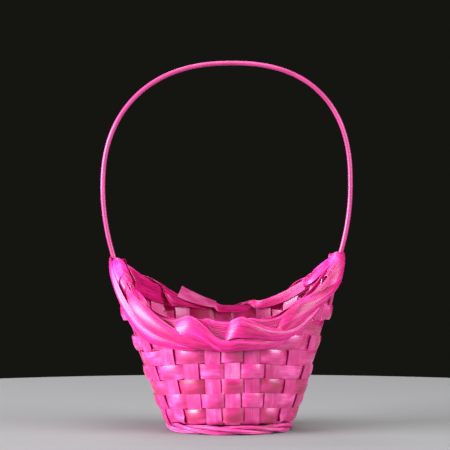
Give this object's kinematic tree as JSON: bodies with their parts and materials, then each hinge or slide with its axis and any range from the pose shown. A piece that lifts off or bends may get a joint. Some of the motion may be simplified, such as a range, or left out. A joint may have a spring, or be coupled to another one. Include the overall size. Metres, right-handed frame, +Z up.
{
  "type": "woven basket",
  "caption": "Small chip-wood basket with a saddle-shaped rim, two high peaks, a folded border, a twined foot and a tall fixed bow handle.",
  "frame": {"origin": "the table under the middle of the handle, close to the centre of the foot", "axes": "+X towards the right peak, in the handle's plane; +Y towards the back; +Z up"},
  "size_m": [0.2226, 0.1491, 0.3254],
  "materials": {
    "uprights": "dyed chip wood, satin, straight grain along the strip",
    "weavers": "dyed chip wood, satin, straight grain along the strip",
    "border": "dyed split slivers laid side by side, satin",
    "twine": "dyed slivers twisted to a rope, satin",
    "rod": "dyed round rod, smooth satin",
    "wraps": "dyed chip wood, satin"
  },
  "bodies": {
    "root": {"cross_strip_1": "uprights", "long_strip_1": "uprights", "cross_strip_2": "uprights", "long_strip_2": "uprights", "cross_strip_3": "uprights", "long_strip_3": "uprights", "cross_strip_4": "uprights", "long_strip_4": "uprights", "cross_strip_5": "uprights", "long_strip_5": "uprights", "weaver_row_1": "weavers", "weaver_row_2": "weavers", "weaver_row_3": "weavers", "weaver_row_4": "weavers", "weaver_row_5": "weavers", "weaver_row_6": "weavers", "left_peak_weaver_1": "weavers", "right_peak_weaver_1": "weavers", "left_peak_weaver_2": "weavers", "right_peak_weaver_2": "weavers", "left_peak_weaver_3": "weavers", "right_peak_weaver_3": "weavers", "base_twine_1": "twine", "base_twine_2": "twine", "base_twine_3": "twine", "border_strand_1": "border", "border_strand_2": "border", "border_strand_3": "border", "border_strand_4": "border", "border_strand_5": "border", "border_strand_6": "border", "border_strand_7": "border", "border_strand_8": "border", "border_strand_9": "border", "border_strand_10": "border", "handle": "rod", "left_peak_wrap": "wraps", "right_peak_wrap": "wraps"}
  },
  "joints": []
}
